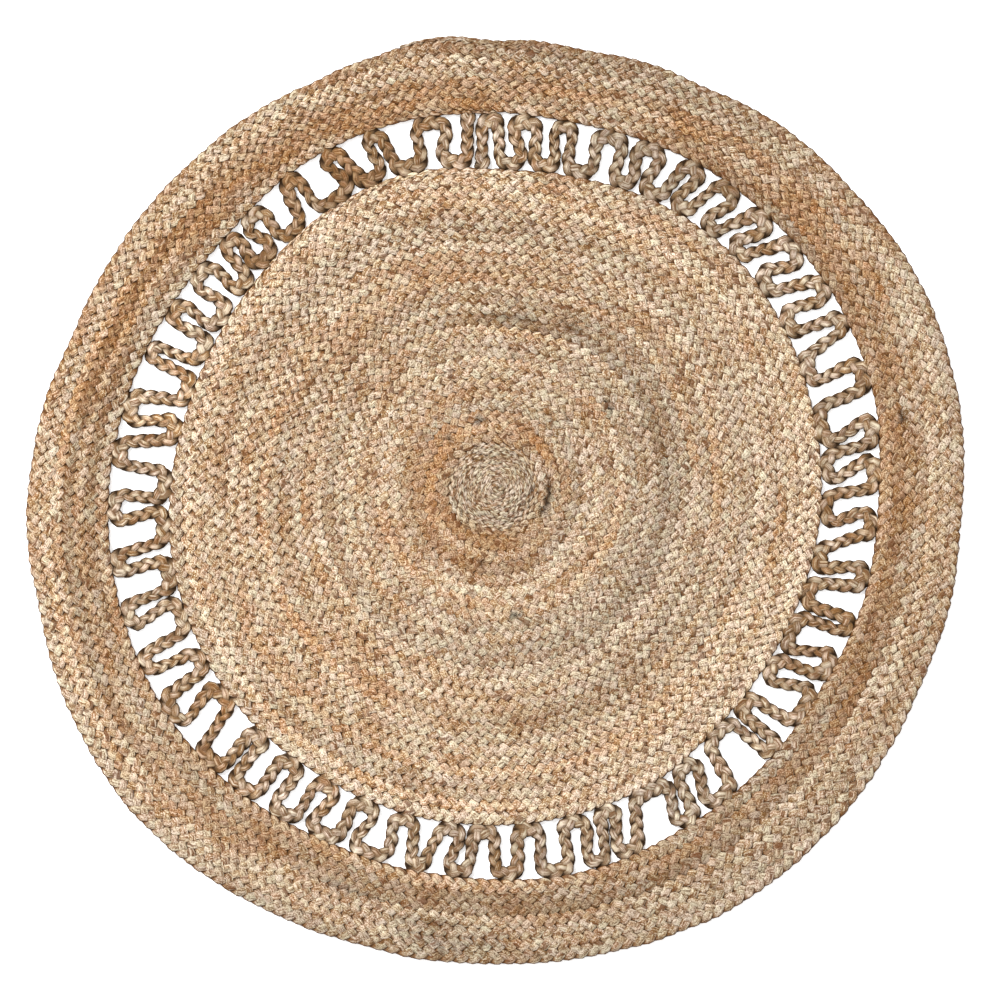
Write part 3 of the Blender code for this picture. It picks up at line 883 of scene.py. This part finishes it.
def juteMaterial(name, look):
    # jute, spun and plaited: matt, coarse fibres with fine pale streaks, partly pale fibre and partly
    # painted highlight
    material = bpy.data.materials.new(name)
    material.use_nodes = True
    tree = material.node_tree
    shader = tree.nodes["Principled BSDF"]
    shader.inputs["Roughness"].default_value = look["roughness"]
    shader.inputs["Specular IOR Level"].default_value = look["specular"]

    def attribute(name, output="Fac"):
        return addNode(tree, "ShaderNodeAttribute", {"attribute_name": name}).outputs[output]

    fibre = attribute("fibre", "Vector")

    # a strand's tone, from its darker to its lighter stretches
    rates = (look["toneRate"], look["toneRate"], 1 / (look["toneAlong"] * mm))
    tone = noisy(tree, calcVector(tree, "MULTIPLY", fibre, rates), detail=2.0)
    ramp = addNode(tree, "ShaderNodeValToRGB", None, {0: tone})
    while len(ramp.color_ramp.elements) < len(look["tones"]):
        ramp.color_ramp.elements.new(0.5)
    for element, (position, colour) in zip(ramp.color_ramp.elements, look["tones"]):
        element.position = position
        element.color = linearColour(colour)

    rust = attribute("rust")
    rusty = calc(tree, "MULTIPLY", rust, look["rustyShare"], clamp=True)
    greyish = calc(tree, "MULTIPLY", rust, look["greyishShare"], clamp=True)
    toned = mixed(tree, rusty, ramp, linearColour(look["rusty"]))
    toned = mixed(tree, greyish, toned, linearColour(look["greyish"]))

    # fibres: painted shade in the hollows between bundles, pale fibres with painted highlight on top, and
    # frayed ends that lie every way
    across, lengthwise = 1 / (look["streakAcross"] * mm), 1 / (look["streakAlong"] * mm)
    streakSpot = calcVector(tree, "MULTIPLY", fibre, (across, across, lengthwise))
    streak = noisy(tree, streakSpot, detail=2.0, roughness=0.65)
    place = addNode(tree, "ShaderNodeTexCoord").outputs["Object"]
    fray = noisy(tree, place, 1 / (look["fray"] * mm))
    frayed = calc(tree, "MULTIPLY_ADD", attribute("slim"), -2 * look["frayShare"], look["frayShare"],
                  clamp=True)  # none on a round of half the full width or less
    streak = addNode(tree, "ShaderNodeMix", {"data_type": "FLOAT"}, {0: frayed, 2: streak, 3: fray})
    hollowShade = ranged(tree, streak, *look["hollowShade"], look["streakMost"])
    paleFibresAndHighlight = ranged(tree, streak, *look["paleFibresAndHighlight"], look["streakMost"])
    fibrous = mixed(tree, hollowShade, toned, linearColour(look["dark"]))
    pale = mixed(tree, rusty, linearColour(look["pale"]), linearColour(look["paleRusty"]))
    fibrous = mixed(tree, paleFibresAndHighlight, fibrous, pale)

    # each strand turns from pinkish to golden and back, and every plait has its own shade
    rates = (look["tintRate"], look["tintRate"], 1 / (look["tintAlong"] * mm))
    tint = noisy(tree, calcVector(tree, "MULTIPLY_ADD", fibre, rates, look["tintShift"]))
    tint = ranged(tree, tint, *look["tint"])
    tint = mixed(tree, tint, linearColour(look["pinkish"]), linearColour(look["golden"]))
    fibrous = mixed(tree, 1.0, fibrous, tint, "MULTIPLY")
    fibrous = mixed(tree, 1.0, fibrous, attribute("shade"), "MULTIPLY")

    # odd dark bits of bark
    bark = noisy(tree, calcVector(tree, "MULTIPLY", fibre, look["barkRates"]))
    bark = ranged(tree, bark, *look["barkSpots"], look["barkMost"])
    fibrous = mixed(tree, bark, fibrous, linearColour(look["bark"]))

    # painted shade: strands darken along their edges, where they press on the next one, and down in the
    # crevices
    edge = ranged(tree, attribute("edge"), *look["edge"], look["edgeShadeMost"])
    shaded = mixed(tree, edge, fibrous, linearColour(look["edgeShadeColour"]))
    level = attribute("level")
    for colour in ("flankShade", "creviceShade"):
        depth = ranged(tree, level, *look[colour + "Range"], look[colour + "Most"])
        shaded = mixed(tree, depth, shaded, linearColour(look[colour]))
    tree.links.new(shaded, shader.inputs["Base Color"])

    bump = addNode(tree, "ShaderNodeBump", None,
                   {"Strength": look["bump"], "Distance": look["bumpDepth"] * mm, "Height": streak})
    tree.links.new(bump.outputs[0], shader.inputs["Normal"])
    return material


groundLook = {
    "roughness": 0.95,
    "specular": 0.1,
    "grain": 2.0,            # mm
    "dark": "#2e1c0f",
    "light": "#5a3d24",
}


def groundMaterial():
    # matted jute fibre deep between the strands, painted dark brown for the shade there, not glossy
    material = bpy.data.materials.new("matted_jute_fibre_painted_shade")
    material.use_nodes = True
    tree = material.node_tree
    shader = tree.nodes["Principled BSDF"]
    shader.inputs["Roughness"].default_value = groundLook["roughness"]
    shader.inputs["Specular IOR Level"].default_value = groundLook["specular"]
    place = addNode(tree, "ShaderNodeTexCoord").outputs["Object"]
    grain = noisy(tree, place, 1 / (groundLook["grain"] * mm), detail=3.0)
    colour = mixed(tree, grain, linearColour(groundLook["dark"]), linearColour(groundLook["light"]))
    tree.links.new(colour, shader.inputs["Base Color"])
    return material


view = {
    "width": 1285.0,         # mm that the picture shows
    "height": 8.0,           # mm above the floor, where it shows that much
    "centre": (6.4, 0.0),    # mm from the origin to what the middle of the picture shows
    "lens": 200.0,
    "sensor": 36.0,
    "farthest": 50.0,        # m
}

lighting = {
    "floorReach": 6.0,       # m to each side
    "floorHeight": -0.0002,  # m, just under the rug
    "floorTone": 0.95,
    "floorGlow": 0.4,        # light of its own that keeps the floor white, as in the photo
    "air": 0.9,              # strength of the light from all around
    "sun": 3.2,              # and of the light from one side
    "sunBreadth": 12.0,      # degrees, a broad window's soft shadows
    "sunCourse": (0.75, -0.75, -1.25),  # the way it shines
}


def studio():
    reach, height = lighting["floorReach"], lighting["floorHeight"]
    corners = [(x * reach, y * reach, height) for x, y in ((-1, -1), (1, -1), (1, 1), (-1, 1))]
    floor = meshPiece("floor", corners, [(0, 1, 2, 3)])
    paint = bpy.data.materials.new("matt_white_floor")
    paint.use_nodes = True
    shader = paint.node_tree.nodes["Principled BSDF"]
    shader.inputs["Base Color"].default_value = (*[lighting["floorTone"]] * 3, 1)
    shader.inputs["Roughness"].default_value = 1.0
    shader.inputs["Specular IOR Level"].default_value = 0.0
    shader.inputs["Emission Color"].default_value = (1, 1, 1, 1)
    shader.inputs["Emission Strength"].default_value = lighting["floorGlow"]
    floor.data.materials.append(paint)

    world = bpy.data.worlds.new("studio_air")
    world.use_nodes = True
    world.node_tree.nodes["Background"].inputs["Color"].default_value = (1, 1, 1, 1)
    world.node_tree.nodes["Background"].inputs["Strength"].default_value = lighting["air"]
    bpy.context.scene.world = world

    sun = bpy.data.lights.new("window_light", "SUN")
    sun.energy = lighting["sun"]
    sun.angle = math.radians(lighting["sunBreadth"])
    lamp = bpy.data.objects.new("window_light", sun)
    lamp.rotation_euler = Vector(lighting["sunCourse"]).to_track_quat("-Z", "Y").to_euler()
    bpy.context.scene.collection.objects.link(lamp)

    camera = bpy.data.cameras.new("camera")
    camera.lens = view["lens"]
    camera.sensor_width = view["sensor"]
    camera.clip_end = view["farthest"]
    eye = bpy.data.objects.new("camera", camera)
    distance = view["width"] * mm * view["lens"] / view["sensor"]
    eye.location = (view["centre"][0] * mm, view["centre"][1] * mm, distance + view["height"] * mm)
    bpy.context.scene.collection.objects.link(eye)
    bpy.context.scene.camera = eye
    bpy.context.scene.view_settings.view_transform = "Standard"


tree = plaitTree()
studio()
print("floor, light and camera set")

discLook = juteMaterial("spun_jute_disc", juteLook)
openworkLook = juteMaterial("spun_jute_openwork", openworkStrands)
borderLook = juteMaterial("spun_jute_border", borderStrands)
deepFibreAndShade = groundMaterial()
print("materials made")

discPieces = plaitPieces("disc_plait", discLine(), tree, discLook, disc["cutShares"])
borderPieces = plaitPieces("border_plait", borderLine(), tree, borderLook, border["cutShares"])
openworkCourse = openworkLine()
openworkPieces = plaitPieces("openwork_plait", openworkCourse, tree, openworkLook, **looser)

grounds = {"disc": discGround(), "border": borderGround(), "openwork": openworkGround(openworkCourse)}
for piece in grounds.values():
    piece.data.materials.append(deepFibreAndShade)
print("grounds laid")

families = (
    ("centre_disc", "disc_jute", discPieces, grounds["disc"]),
    ("border_band", "border_jute", borderPieces, grounds["border"]),
    ("openwork_braid", "openwork_jute", openworkPieces, grounds["openwork"]),
)
for node, slot, plaits, base in families:
    for piece in (*plaits, base):
        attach(piece, "root")
        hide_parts(node)
